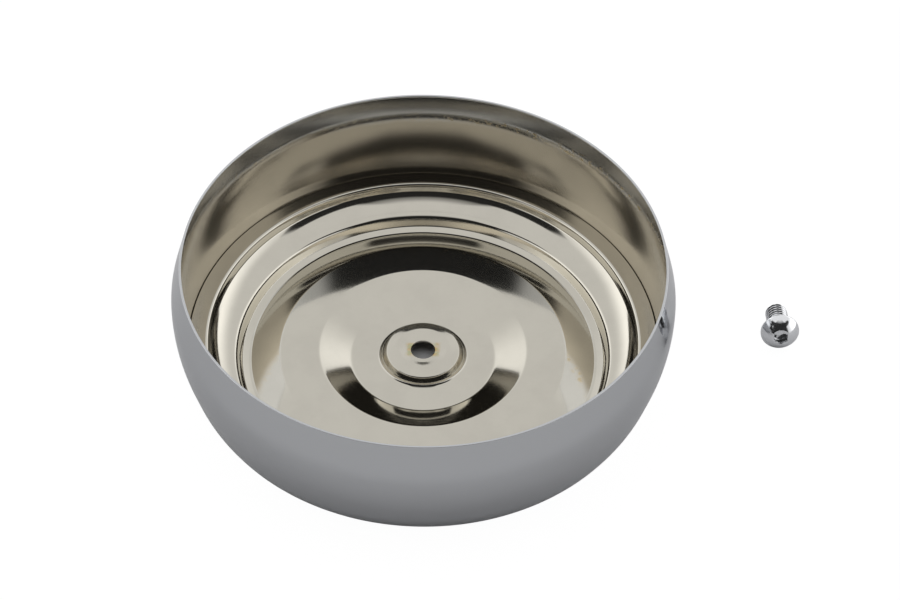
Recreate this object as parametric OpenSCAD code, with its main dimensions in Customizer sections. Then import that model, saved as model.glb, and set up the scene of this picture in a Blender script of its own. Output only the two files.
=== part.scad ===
// Round air cleaner cover, lying on its outer face with the open side up,
// and the button-head screw that holds it, laid down beside it.
// Millimetres, Z up. The origin is on the cover's axis, on the seat around the
// screw hole where the screw head bears. The table is at z = -seat.

/* [Cover] */
// Inside radius of the cut rim
rim_r = 84.7; // [80:0.1:105]
// Height of the rim above the table
cover_h = 51.2; // [48:0.1:60]
// Thickness of the sheet
sheet = 0.8; // [0.6:0.05:1]
// Radius of the screw hole in the middle
hole_r = 4.35; // [4.1:0.05:5.2]
// Radius of the round window in the front of the outer bowl
window_r = 60.3; // [56:0.1:60.8]

/* [Screw] */
// Outside diameter of the thread
thread_d = 7.94; // [6:0.02:8.2]
// Length under the head
screw_l = 12.7; // [9.5:0.1:20]
// Diameter of the head
head_d = 13.9; // [12:0.1:15]
// Height of the head
head_h = 4.2; // [3.6:0.1:4.4]
// Hex socket across the flats
hex_af = 4.76; // [4:0.02:5.2]
// Depth of the hex socket
hex_depth = 2.7; // [2:0.1:3]

/* [Placing] */
// Distance of the screw from the cover's axis, along x
screw_x = 129.2; // [125:0.1:170]
// Offset of the screw along y
screw_y = 9.6; // [-60:0.1:60]
// Way the screw head faces, degrees from the x axis
screw_turn = -89; // [-180:1:180]

/* [Hidden] */
$fn = 96;
eps = 0.01;

// scale of the stamping: every radius grows with the rim, every height with the cover
kr = rim_r / 84.7;
kz = cover_h / 51.2;

// height of the seat around the screw hole above the table
seat = 5.45 * kz - sheet;

function unit(v) = v / norm(v);
function cross2(a, b) = a[0] * b[1] - a[1] * b[0];

// one corner [r, z, bend radius] of a path, turned into the points of its arc
function corner(a, b, c, n) =
    let (u = unit([a[0] - b[0], a[1] - b[1]]),
         v = unit([c[0] - b[0], c[1] - b[1]]),
         half = acos(max(-1, min(1, u * v))) / 2,
         t = b[2] / tan(half),
         p = [b[0], b[1]] + u * t,
         w = unit(u + v),
         m = [b[0], b[1]] + w * (b[2] / sin(half)),
         turn = 180 - 2 * half,
         s = cross2(p - m, [b[0], b[1]] + v * t - m) > 0 ? 1 : -1,
         d = p - m)
    [for (i = [0:n]) let (g = s * turn * i / n)
        m + [d[0] * cos(g) - d[1] * sin(g), d[0] * sin(g) + d[1] * cos(g)]];

// a bent path through corners [r, z, bend radius]
function bent(q, n = 5) = [for (i = [0:len(q) - 1])
    each (i == 0 || i == len(q) - 1 || q[i][2] == 0) ? [[q[i][0], q[i][1]]]
        : corner(q[i - 1], q[i], q[i + 1], n)];

// the same path moved sideways by the sheet thickness
function along(p, i) = unit(p[min(i + 1, len(p) - 1)] - p[max(i - 1, 0)]);
function moved(p, t) = [for (i = [0:len(p) - 1])
    let (d = along(p, i)) p[i] + [d[1], -d[0]] * t];

function back(p) = [for (i = [len(p) - 1:-1:0]) p[i]];

// outer skin of the bowl, from the raised seat around the window in its front,
// which carries the pan, up to the cut rim
shell_path = bent([
    [window_r * kr, 0.5 * kz, 0],
    [63.6 * kr, 0.5 * kz, 0.9],
    [64.9 * kr, 0, 0.9],
    [79.2 * kr, 0, 12],
    [84.45 * kr, 10.4 * kz, 25],
    [88.95 * kr, 26.5 * kz, 60],
    [88.95 * kr, 37.9 * kz, 22],
    [rim_r + sheet, cover_h, 0]], 8);

// upper skin of the stamped pan, from the screw hole out to the flange that
// slopes down to the wall of the bowl
pan_path = bent([
    [hole_r, 5.45 * kz, 0],
    [5.8 * kr, 5.45 * kz, 4],
    [9.1 * kr, 6.1 * kz, 5],
    [13.4 * kr, 5.35 * kz, 0.95],
    [14.8 * kr, 1.7 * kz, 2.8],
    [25.4 * kr, 1.4 * kz, 5],
    [37.8 * kr, 6.65 * kz, 3.8],
    [51.3 * kr, 5.95 * kz, 3.3],
    [61.9 * kr, 2.1 * kz, 1.2],
    [62.7 * kr, 2.1 * kz, 1.2],
    [65.1 * kr, 2.8 * kz, 0.6],
    [67 * kr, 6.4 * kz, 2.4],
    [72.4 * kr, 7.6 * kz, 14],
    [75.9 * kr, 10.5 * kz, 1.2],
    [77 * kr, 13.8 * kz, 1.2],
    [83.9 * kr, 12.4 * kz, 0]], 5);

// inner skin of the bowl; the rim is cut off square to the axis
shell_skin = concat(
    [for (i = [0:len(shell_path) - 2]) moved(shell_path, -sheet)[i]],
    [[rim_r, cover_h]]);

// screw lying down: the head's edge and the end of its thread both touch the table
lean = atan((head_d / 2 - thread_d / 2) / (screw_l - 0.8));

// domed head: a ball surface from the edge of the head to the flat around the socket
edge_h = 0.6;
top_r = hex_af / 2 / cos(30) + 0.2;
dome_z = (pow(head_d / 2, 2) + pow(edge_h, 2) - pow(top_r, 2) - pow(head_h, 2)) / (2 * (edge_h - head_h));
dome_r = norm([head_d / 2, edge_h - dome_z]);
dome_a = asin(head_d / 2 / dome_r);
dome_b = asin(top_r / dome_r);

module screw_up() {
    // stands on its tip here, head at the top; z = 0 is under the head
    difference() {
        union() {
            rotate_extrude() polygon(concat(
                [[0, 0], [head_d / 2, 0]],
                [for (i = [0:9]) let (g = dome_a + (dome_b - dome_a) * i / 9)
                    [dome_r * sin(g), dome_z + dome_r * cos(g)]],
                [[0, head_h]]));
            rotate_extrude() polygon([
                [0, -screw_l], [thread_d / 2 - 0.7, -screw_l],
                [thread_d / 2, -screw_l + 0.8],
                [thread_d / 2, 0.2], [0, 0.2]]);
        }
        translate([0, 0, head_h - hex_depth])
            cylinder(h = hex_depth + 1, d = hex_af / cos(30), $fn = 6);
    }
}

// deep-drawn chromed bowl that makes the outside wall and the front edge
module outer_shell() {
    color("silver") translate([0, 0, -seat]) rotate_extrude($fn = 180)
        polygon(concat(shell_path, back(shell_skin)));
}

// stamped pan with the stepped rings and the screw hole
module inner_pan() {
    color("tan") translate([0, 0, -seat]) rotate_extrude($fn = 180)
        polygon(concat(pan_path, back(moved(pan_path, sheet))));
}

// button-head cap screw with a hex socket
module cover_screw() {
    color("gainsboro")
        translate([screw_x, screw_y, -seat])
            rotate([0, 0, screw_turn])
                translate([0, 0, head_d / 2 * cos(lean)])
                    rotate([0, 90 - lean, 0])
                        screw_up();
}

outer_shell();
inner_pan();
cover_screw();
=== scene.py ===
"""Round chromed air cleaner cover lying open side up, with its button-head screw beside it.

Metres, in the CAD frame: the origin is on the cover's axis at the seat around the screw hole,
and the table is SEAT below it. Profiles are given in millimetres above the table.
"""
import math
import bpy
import numpy as np
from mathutils import Matrix, Vector


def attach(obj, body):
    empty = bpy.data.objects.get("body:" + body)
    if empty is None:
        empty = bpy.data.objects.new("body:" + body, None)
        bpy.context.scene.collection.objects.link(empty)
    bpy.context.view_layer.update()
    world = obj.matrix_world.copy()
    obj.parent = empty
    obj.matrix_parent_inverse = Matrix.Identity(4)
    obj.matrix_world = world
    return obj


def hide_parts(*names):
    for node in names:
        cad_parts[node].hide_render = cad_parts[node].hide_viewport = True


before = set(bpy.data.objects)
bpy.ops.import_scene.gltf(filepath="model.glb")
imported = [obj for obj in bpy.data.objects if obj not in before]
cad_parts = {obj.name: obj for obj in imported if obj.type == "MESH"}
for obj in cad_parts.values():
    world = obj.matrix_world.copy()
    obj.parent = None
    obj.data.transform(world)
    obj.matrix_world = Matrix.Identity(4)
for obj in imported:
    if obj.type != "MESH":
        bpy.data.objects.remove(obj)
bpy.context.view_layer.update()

MM = 0.001
SHEET = 0.8
SEAT = 4.65  # height of the origin above the table


# ---------------------------------------------------------------- profiles
def unit(v):
    v = np.asarray(v, float)
    return v / np.linalg.norm(v)


def bent(q, n=10):
    """A path through corners (r, z, bend radius), with each corner turned into an arc."""
    out = []
    for i, (r, z, rad) in enumerate(q):
        b = np.array([r, z], float)
        if i in (0, len(q) - 1) or rad == 0:
            out.append(b)
            continue
        u = unit(np.array(q[i - 1][:2]) - b)
        v = unit(np.array(q[i + 1][:2]) - b)
        half = math.acos(max(-1.0, min(1.0, float(u @ v)))) / 2
        t = rad / math.tan(half)
        p = b + u * t
        m = b + unit(u + v) * (rad / math.sin(half))
        e = b + v * t
        turn = math.pi - 2 * half
        d = p - m
        w = e - m
        s = 1 if d[0] * w[1] - d[1] * w[0] > 0 else -1
        for k in range(n + 1):
            g = s * turn * k / n
            out.append(m + np.array([d[0] * math.cos(g) - d[1] * math.sin(g), d[0] * math.sin(g) + d[1] * math.cos(g)]))
    return out


def fill(path, step=0.9):
    """Extra points on the straight runs, so that no quad of the lathe is very long."""
    out = [path[0]]
    for a, b in zip(path, path[1:]):
        n = max(1, int(np.linalg.norm(b - a) / step))
        out += [a + (b - a) * k / n for k in range(1, n + 1)]
    return out


def moved(path, t):
    n = len(path)
    out = []
    for i in range(n):
        d = unit(path[min(i + 1, n - 1)] - path[max(i - 1, 0)])
        out.append(path[i] + np.array([d[1], -d[0]]) * t)
    return out


SHELL = bent(
    [
        (60.3, 0.5, 0),
        (63.6, 0.5, 0.9),
        (64.9, 0, 0.9),
        (79.2, 0, 12),
        (84.45, 10.4, 25),
        (88.95, 26.5, 60),
        (88.95, 37.9, 22),
        (85.5, 51.2, 0),
    ],
    16,
)
PAN = bent(
    [
        (4.35, 5.45, 0),
        (5.8, 5.45, 4),
        (9.1, 6.1, 5),
        (13.4, 5.35, 0.95),
        (14.8, 1.7, 2.8),
        (25.4, 1.4, 5),
        (37.8, 6.65, 3.8),
        (51.3, 5.95, 3.3),
        (61.9, 2.1, 1.2),
        (62.7, 2.1, 1.2),
        (65.1, 2.8, 0.6),
        (67, 6.4, 2.4),
        (72.4, 7.6, 14),
        (75.9, 10.5, 1.2),
        (77, 13.8, 1.2),
        (83.9, 12.4, 0),
    ],
    10,
)


def mesh_object(name, verts, faces, smooth=True):
    me = bpy.data.meshes.new(name)
    me.from_pydata([tuple(v) for v in verts], [], faces)
    me.validate()
    me.update()
    for p in me.polygons:
        p.use_smooth = smooth
    ob = bpy.data.objects.new(name, me)
    bpy.context.scene.collection.objects.link(ob)
    return ob


def lathe(name, ring, n=360):
    """A closed section (mm above the table) turned about Z. The section runs anticlockwise."""
    m = len(ring)
    verts = []
    for i in range(n):
        a = 2 * math.pi * (i + 0.5) / n
        c, s = math.cos(a), math.sin(a)
        verts += [(r * c * MM, r * s * MM, (z - SEAT) * MM) for r, z in ring]
    faces = []
    for i in range(n):
        j = (i + 1) % n
        for k in range(m):
            q = (k + 1) % m
            faces.append((i * m + k, j * m + k, j * m + q, i * m + q))
    return mesh_object(name, verts, faces)


def nose(a, b, c, d, r, n=4):
    """The cut edge from a to b, with its corners broken by a small radius. c and d point back into the sheet."""
    out = []
    for p, u, v in ((a, c, unit(b - a)), (b, unit(a - b), d)):
        p0, p1 = p + unit(u) * r, p + unit(v) * r
        m = p + (unit(u) + unit(v)) * r
        a0 = math.atan2(*(p0 - m)[::-1])
        a1 = math.atan2(*(p1 - m)[::-1])
        dlt = (a1 - a0 + math.pi) % (2 * math.pi) - math.pi
        rr = np.linalg.norm(p0 - m)
        out += [m + rr * np.array([math.cos(a0 + dlt * k / n), math.sin(a0 + dlt * k / n)]) for k in range(n + 1)]
    return out


def section(outer, inner, r=0.12):
    """Closed section of the sheet: along outer, round the cut edge, back along inner, round the other edge."""
    o0, o1, i0, i1 = outer[0], outer[-1], inner[0], inner[-1]
    end = nose(o1, i1, outer[-2] - o1, inner[-2] - i1, r)
    start = nose(i0, o0, inner[1] - i0, outer[1] - o0, r)

    def trim(path):
        a, b = path[0], path[-1]
        return [p for p in path if np.linalg.norm(p - a) > r * 1.05 and np.linalg.norm(p - b) > r * 1.05]

    return trim(outer) + end + trim(inner)[::-1] + start


shell_in = moved(SHELL, -SHEET)
shell_in[-1] = np.array([84.7, 51.2])
pan_low = moved(PAN, SHEET)
bowl = lathe("bowl", section(fill(SHELL), fill(shell_in)))
pan = lathe("pan", section(fill(PAN), fill(pan_low)))

# ---------------------------------------------------------------- screw
HEAD_D, HEAD_H, THREAD_D, SCREW_L = 13.9, 4.2, 7.94, 12.7
HEX_AF, HEX_DEPTH, PITCH, EDGE = 4.76, 2.7, 1.411, 0.6
SCREW_X, SCREW_Y, SCREW_TURN = 129.2, 9.6, -89.0


def make_screw():
    n = 120
    phi = [2 * math.pi * i / n for i in range(n)]
    corner_r = HEX_AF / 2 / math.cos(math.pi / 6)

    def hexr(p, k=1.0):
        a = p % (math.pi / 3) - math.pi / 6
        return k * HEX_AF / 2 / math.cos(a)

    rings = []

    def ring(rfun, z):
        rings.append([(rfun(p) * math.cos(p), rfun(p) * math.sin(p), z) for p in phi])

    floor_z = HEAD_H - HEX_DEPTH
    for r, z in ((0.4, floor_z - 0.02), (1.2, floor_z - 0.01), (HEX_AF / 2 - 0.12, floor_z)):
        ring(lambda p, r=r: r, z)
    for z, k in ((floor_z + 0.06, 1.0), (floor_z + 0.5, 1.0), (HEAD_H - 0.6, 1.0), (HEAD_H - 0.22, 1.0), (HEAD_H - 0.14, 1.012), (HEAD_H - 0.07, 1.04)):
        ring(lambda p, k=k: hexr(p, k), z)
    top = corner_r + 0.2
    hr = HEAD_D / 2
    c = (hr**2 + EDGE**2 - top**2 - HEAD_H**2) / (2 * (EDGE - HEAD_H))
    rad = math.hypot(hr, EDGE - c)
    a0, a1 = math.asin(top / rad), math.asin(hr / rad)
    ring(lambda p: 0.5 * (top + hexr(p, 1.05)), HEAD_H - 0.035)
    for i in range(25):
        a = a0 + (a1 - a0) * i / 24
        ring(lambda p, a=a: rad * math.sin(a), c + rad * math.cos(a))
    for r, z in ((hr, EDGE - 0.1), (hr, 0.3), (hr, 0.12), (hr - 0.04, 0.04), (hr - 0.12, 0.0), (hr - 0.8, 0.0), (THREAD_D / 2 + 0.35, 0.0), (THREAD_D / 2 + 0.08, -0.04)):
        ring(lambda p, r=r: r, z)
    # rolled thread: flat crests, rounded roots, fading out at both ends
    R, depth = THREAD_D / 2, 0.78
    rows = int((SCREW_L - 0.15) / PITCH * 14)

    def thread_r(p, z):
        t = (z / PITCH - p / (2 * math.pi)) % 1.0
        v = abs(t - 0.5) * 2  # 1 at the crest, 0 at the root
        v = min(1.0, max(0.0, (v - 0.12) / 0.72))
        v = v * v * (3 - 2 * v) * 0.35 + v * 0.65
        s = -z
        fade = min(1.0, max(0.0, (s - 0.5) / 1.2))
        r = R - depth * (1 - v) * fade
        tip = SCREW_L - s
        return min(r, R - 0.7 + max(0.0, tip) * 0.875)

    for k in range(rows + 1):
        z = -0.15 - (SCREW_L - 0.15) * k / rows
        ring(lambda p, z=z: thread_r(p, z), z)
    ring(lambda p: R - 1.0, -SCREW_L)
    ring(lambda p: 1.2, -SCREW_L + 0.03)

    verts = [p for r in rings for p in r]
    faces = []
    for k in range(len(rings) - 1):
        for i in range(n):
            j = (i + 1) % n
            faces.append((k * n + i, (k + 1) * n + i, (k + 1) * n + j, k * n + j))
    verts.append((0, 0, rings[0][0][2]))
    verts.append((0, 0, rings[-1][0][2]))
    c0, c1, last = len(verts) - 2, len(verts) - 1, (len(rings) - 1) * n
    for i in range(n):
        j = (i + 1) % n
        faces.append((c0, i, j))
        faces.append((c1, last + j, last + i))
    lean = math.atan((HEAD_D / 2 - THREAD_D / 2) / (SCREW_L - 0.8))
    M = (
        Matrix.Translation((SCREW_X, SCREW_Y, -SEAT))
        @ Matrix.Rotation(math.radians(SCREW_TURN), 4, "Z")
        @ Matrix.Translation((0, 0, HEAD_D / 2 * math.cos(lean)))
        @ Matrix.Rotation(math.pi / 2 - lean, 4, "Y")
    )
    verts = [tuple((M @ Vector(v)) * MM) for v in verts]
    ob = mesh_object("screw", verts, faces)
    ob.data.set_sharp_from_angle(angle=math.radians(38))
    return ob


screw = make_screw()

# ---------------------------------------------------------------- materials


class Nodes:
    def __init__(self, name):
        self.mat = bpy.data.materials.new(name)
        self.mat.use_nodes = True
        self.nt = self.mat.node_tree
        self.bsdf = self.nt.nodes["Principled BSDF"]
        self.obj = self.nt.nodes.new("ShaderNodeTexCoord").outputs["Object"]
        sep = self.nt.nodes.new("ShaderNodeSeparateXYZ")
        self.nt.links.new(self.obj, sep.inputs[0])
        self.x, self.y, self.z = sep.outputs
        self.r = self.m("SQRT", self.m("ADD", self.m("MULTIPLY", self.x, self.x), self.m("MULTIPLY", self.y, self.y)))

    def put(self, value, socket):
        if isinstance(value, bpy.types.NodeSocket):
            self.nt.links.new(value, socket)
        elif value is not None:
            socket.default_value = value

    def m(self, op, a, b=None, c=None, clamp=False):
        n = self.nt.nodes.new("ShaderNodeMath")
        n.operation = op
        n.use_clamp = clamp
        for i, v in enumerate((a, b, c)):
            self.put(v, n.inputs[i])
        return n.outputs[0]

    def vec(self, x, y, z):
        n = self.nt.nodes.new("ShaderNodeCombineXYZ")
        for i, v in enumerate((x, y, z)):
            self.put(v, n.inputs[i])
        return n.outputs[0]

    def step(self, v, lo, hi):
        n = self.nt.nodes.new("ShaderNodeMapRange")
        n.interpolation_type = "SMOOTHSTEP"
        self.put(v, n.inputs[0])
        n.inputs[1].default_value = lo
        n.inputs[2].default_value = hi
        return n.outputs[0]

    def noise(self, vector, scale, detail=3.0, rough=0.5):
        n = self.nt.nodes.new("ShaderNodeTexNoise")
        self.put(vector, n.inputs["Vector"])
        n.inputs["Scale"].default_value = scale
        n.inputs["Detail"].default_value = detail
        n.inputs["Roughness"].default_value = rough
        return n.outputs[0]

    def mix(self, f, a, b):
        n = self.nt.nodes.new("ShaderNodeMix")
        n.data_type = "RGBA"
        self.put(f, n.inputs[0])
        for v, s in ((a, n.inputs[6]), (b, n.inputs[7])):
            self.put(v if isinstance(v, bpy.types.NodeSocket) else (*v, 1.0), s)
        return n.outputs[2]

    def bump(self, height, strength, distance):
        n = self.nt.nodes.new("ShaderNodeBump")
        n.inputs["Strength"].default_value = strength
        n.inputs["Distance"].default_value = distance
        self.put(height, n.inputs["Height"])
        self.nt.links.new(n.outputs[0], self.bsdf.inputs["Normal"])

    def set(self, name, value):
        s = self.bsdf.inputs[name]
        if isinstance(value, tuple):
            value = (*value, 1.0)
        self.put(value, s)


CHROME = (0.60, 0.61, 0.625)
NICKEL = (0.63, 0.602, 0.53)
WALL = (0.50, 0.46, 0.385)


def metal_bowl():
    t = Nodes("chromed_bowl")
    # polish rings left by spinning: very fine, only in the gloss
    rings = t.noise(t.vec(t.m("MULTIPLY", t.r, 900.0), t.m("MULTIPLY", t.z, 900.0), 0.0), 1.0, 2.0)
    blotch = t.noise(t.obj, 45.0, 4.0, 0.6)
    wavy = t.m("MULTIPLY", t.m("SUBTRACT", blotch, 0.5), 0.006)
    zt = t.m("ADD", t.z, SEAT * MM)
    # inside: chrome covers only the zone near the rim, warm nickel shows below it
    low = t.m("SUBTRACT", 1.0, t.step(t.m("ADD", zt, wavy), 0.0345, 0.0395))
    # the skin's side is told by how its normal faces the axis
    g = t.nt.nodes.new("ShaderNodeNewGeometry")
    dot = t.nt.nodes.new("ShaderNodeVectorMath")
    dot.operation = "DOT_PRODUCT"
    t.nt.links.new(g.outputs["Normal"], dot.inputs[0])
    t.nt.links.new(t.vec(t.x, t.y, 0.0), dot.inputs[1])
    inner = t.m("LESS_THAN", dot.outputs["Value"], 0.0)
    warm = t.m("MULTIPLY", inner, low)
    colour = t.mix(warm, CHROME, t.mix(t.step(blotch, 0.35, 0.7), WALL, tuple(0.93 * v for v in WALL)))
    # yellowish specks where the chrome bath stopped, more of them on one side
    speck = t.noise(t.obj, 520.0, 2.0, 0.6)
    edge = t.m("MULTIPLY", t.step(t.m("ADD", zt, wavy), 0.0355, 0.0375), t.m("SUBTRACT", 1.0, t.step(t.m("ADD", zt, wavy), 0.0385, 0.041)))
    bias = t.m("ADD", 0.35, t.m("MULTIPLY", t.step(t.x, -0.02, 0.05), 0.65))
    stain = t.m("MULTIPLY", t.m("MULTIPLY", edge, inner), t.m("MULTIPLY", t.step(speck, 0.52, 0.66), bias))
    colour = t.mix(t.m("MULTIPLY", stain, 0.8), colour, (0.66, 0.52, 0.27))
    t.set("Base Color", colour)
    t.set("Metallic", 1.0)
    rough = t.m("ADD", t.m("MULTIPLY", rings, 0.015), t.m("ADD", 0.05, t.m("MULTIPLY", inner, 0.09)))
    t.set("Roughness", t.m("ADD", rough, t.m("MULTIPLY", stain, 0.22)))
    return t.mat


def metal_pan():
    t = Nodes("nickel_pan")
    rings = t.noise(t.vec(t.m("MULTIPLY", t.r, 1400.0), t.m("MULTIPLY", t.z, 400.0), 0.0), 1.0, 2.0)
    blotch = t.noise(t.obj, 60.0, 4.0, 0.6)
    colour = t.mix(t.step(blotch, 0.35, 0.7), NICKEL, tuple(0.95 * v for v in NICKEL))
    # brown and greenish tarnish left and right of the screw hole
    spot = t.noise(t.obj, 420.0, 3.0, 0.6)
    ax = t.m("ABSOLUTE", t.x)
    beside = t.m("MULTIPLY", t.m("SUBTRACT", 1.0, t.step(t.m("ADD", ax, t.m("MULTIPLY", spot, 0.003)), 0.0066, 0.0082)), t.m("SUBTRACT", 1.0, t.step(t.m("ABSOLUTE", t.y), 0.0022, 0.0040)))
    tarnish = t.m("MULTIPLY", beside, t.m("ADD", 0.35, t.m("MULTIPLY", t.step(spot, 0.4, 0.62), 0.65)))
    tint = t.mix(t.step(t.noise(t.obj, 900.0, 2.0), 0.4, 0.6), (0.60, 0.42, 0.17), (0.50, 0.50, 0.30))
    colour = t.mix(tarnish, colour, tint)
    t.set("Base Color", colour)
    t.set("Metallic", 1.0)
    t.set("Roughness", t.m("ADD", t.m("ADD", 0.06, t.m("MULTIPLY", rings, 0.03)), t.m("MULTIPLY", tarnish, 0.2)))
    return t.mat


def metal_screw():
    t = Nodes("chromed_screw")
    blotch = t.noise(t.obj, 300.0, 3.0, 0.5)
    t.set("Base Color", t.mix(blotch, (0.86, 0.87, 0.89), (0.92, 0.93, 0.95)))
    t.set("Metallic", 1.0)
    t.set("Roughness", t.m("ADD", 0.10, t.m("MULTIPLY", blotch, 0.06)))
    return t.mat


for piece, mat, body, node, slot in (
    (bowl, metal_bowl(), "cover", "outer_shell", "chromed_bowl"),
    (pan, metal_pan(), "cover", "inner_pan", "nickel_pan"),
    (screw, metal_screw(), "screw", "cover_screw", "chromed_screw"),
):
    piece.data.materials.append(mat)
    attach(piece, body)
    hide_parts(node)

# ---------------------------------------------------------------- floor, light, camera
floor_z = -SEAT * MM
floor = mesh_object("floor", [(-4, -4, floor_z), (4, -4, floor_z), (4, 4, floor_z), (-4, 4, floor_z)], [(0, 1, 2, 3)], False)
fm = bpy.data.materials.new("pale_floor")
fm.use_nodes = True
fn = fm.node_tree
fb = fn.nodes["Principled BSDF"]
fb.inputs["Base Color"].default_value = (0.72, 0.72, 0.73, 1)
fb.inputs["Roughness"].default_value = 0.9
glow = fn.nodes.new("ShaderNodeEmission")
glow.inputs["Color"].default_value = (1, 1, 1, 1)
glow.inputs["Strength"].default_value = 1.06
seen = fn.nodes.new("ShaderNodeLightPath")
share = fn.nodes.new("ShaderNodeMath")
share.operation = "MULTIPLY"
share.inputs[1].default_value = 0.92
# no glow under the cover, where the screw hole shows the shaded table
spot_at = fn.nodes.new("ShaderNodeTexCoord")
away = fn.nodes.new("ShaderNodeVectorMath")
away.operation = "LENGTH"
under = fn.nodes.new("ShaderNodeMapRange")
under.interpolation_type = "SMOOTHSTEP"
under.inputs[1].default_value = 0.05
under.inputs[2].default_value = 0.075
open_floor = fn.nodes.new("ShaderNodeMath")
open_floor.operation = "MULTIPLY"
blend = fn.nodes.new("ShaderNodeMixShader")
fn.links.new(seen.outputs["Is Camera Ray"], share.inputs[0])
fn.links.new(spot_at.outputs["Object"], away.inputs[0])
fn.links.new(away.outputs["Value"], under.inputs[0])
fn.links.new(under.outputs[0], open_floor.inputs[0])
fn.links.new(share.outputs[0], open_floor.inputs[1])
fn.links.new(open_floor.outputs[0], blend.inputs[0])
fn.links.new(fb.outputs[0], blend.inputs[1])
fn.links.new(glow.outputs[0], blend.inputs[2])
fn.links.new(blend.outputs[0], fn.nodes["Material Output"].inputs["Surface"])
floor.data.materials.append(fm)


def make_world():
    w = bpy.data.worlds.new("studio")
    bpy.context.scene.world = w
    w.use_nodes = True
    nt = w.node_tree
    nt.nodes.clear()
    out = nt.nodes.new("ShaderNodeOutputWorld")
    bg = nt.nodes.new("ShaderNodeBackground")
    tc = nt.nodes.new("ShaderNodeTexCoord")
    sep = nt.nodes.new("ShaderNodeSeparateXYZ")
    nt.links.new(tc.outputs["Generated"], sep.inputs[0])

    def m(op, a, b=None):
        n = nt.nodes.new("ShaderNodeMath")
        n.operation = op
        for i, v in enumerate((a, b)):
            if isinstance(v, bpy.types.NodeSocket):
                nt.links.new(v, n.inputs[i])
            elif v is not None:
                n.inputs[i].default_value = v
        return n.outputs[0]

    def step(v, lo, hi):
        n = nt.nodes.new("ShaderNodeMapRange")
        n.interpolation_type = "SMOOTHSTEP"
        nt.links.new(v, n.inputs[0])
        n.inputs[1].default_value = math.radians(lo)
        n.inputs[2].default_value = math.radians(hi)
        return n.outputs[0]

    x, y, z = sep.outputs
    el = m("ARCSINE", z)
    az = m("ABSOLUTE", m("ARCTAN2", x, m("MULTIPLY", y, -1.0)))  # 0 towards the camera
    # the dark side is widest halfway up
    wide = m("SUBTRACT", step(el, 34, 44), step(el, 52, 60))
    reach = m("ADD", math.radians(44), m("MULTIPLY", wide, math.radians(38)))
    side = m("SUBTRACT", 1.0, step(m("SUBTRACT", az, reach), -4, 6))
    # the unlit side of the room behind the camera, fading out overhead
    low = m("SUBTRACT", 1.0, step(el, 60, 66))
    fade = m("SUBTRACT", 1.0, step(el, 64, 82))
    dark = m("MULTIPLY", side, m("ADD", m("MULTIPLY", low, 0.35), m("MULTIPLY", fade, 0.62)))
    # soft boxes left and right, a little behind
    lamp = m("MULTIPLY", step(m("SUBTRACT", math.pi, az), 8, 50), m("SUBTRACT", 1.0, step(el, 22, 50)))
    lamp = m("MULTIPLY", lamp, step(az, 52, 80))
    white = m("ADD", 0.8, m("MULTIPLY", lamp, 0.7))
    level = m("MULTIPLY", white, m("SUBTRACT", 1.0, dark))
    nt.links.new(level, bg.inputs[1])
    bg.inputs[0].default_value = (1.0, 1.0, 1.0, 1)
    nt.links.new(bg.outputs[0], out.inputs[0])


make_world()


def make_camera():
    R = 84.7  # the camera was solved in units of the rim's inside radius
    f, el, D, yo, xo, roll = 3000.0, 45.94364, 12.37615, -38.79585, -26.53860, 0.540095
    e = math.radians(el)
    ph = e + math.atan2(-yo, f)
    fwd = Vector((0, math.cos(ph), -math.sin(ph)))
    up0 = Vector((0, math.sin(ph), math.cos(ph)))
    g = math.radians(roll)
    right = Vector((math.cos(g), 0, 0)) + math.sin(g) * up0
    up = Vector((-math.sin(g), 0, 0)) + math.cos(g) * up0
    place = Vector((0, -D * math.cos(e), D * math.sin(e) + 0.605)) * R * MM
    place.z -= SEAT * MM
    cam = bpy.data.cameras.new("camera")
    ob = bpy.data.objects.new("camera", cam)
    bpy.context.scene.collection.objects.link(ob)
    ob.matrix_world = Matrix(
        (
            (right.x, up.x, -fwd.x, place.x),
            (right.y, up.y, -fwd.y, place.y),
            (right.z, up.z, -fwd.z, place.z),
            (0, 0, 0, 1),
        )
    )
    cam.sensor_width = 36
    cam.lens = f * 36 / 900
    cam.shift_x = -xo / 900
    cam.clip_end = 20
    bpy.context.scene.camera = ob


make_camera()
bpy.context.scene.view_settings.view_transform = "Standard"
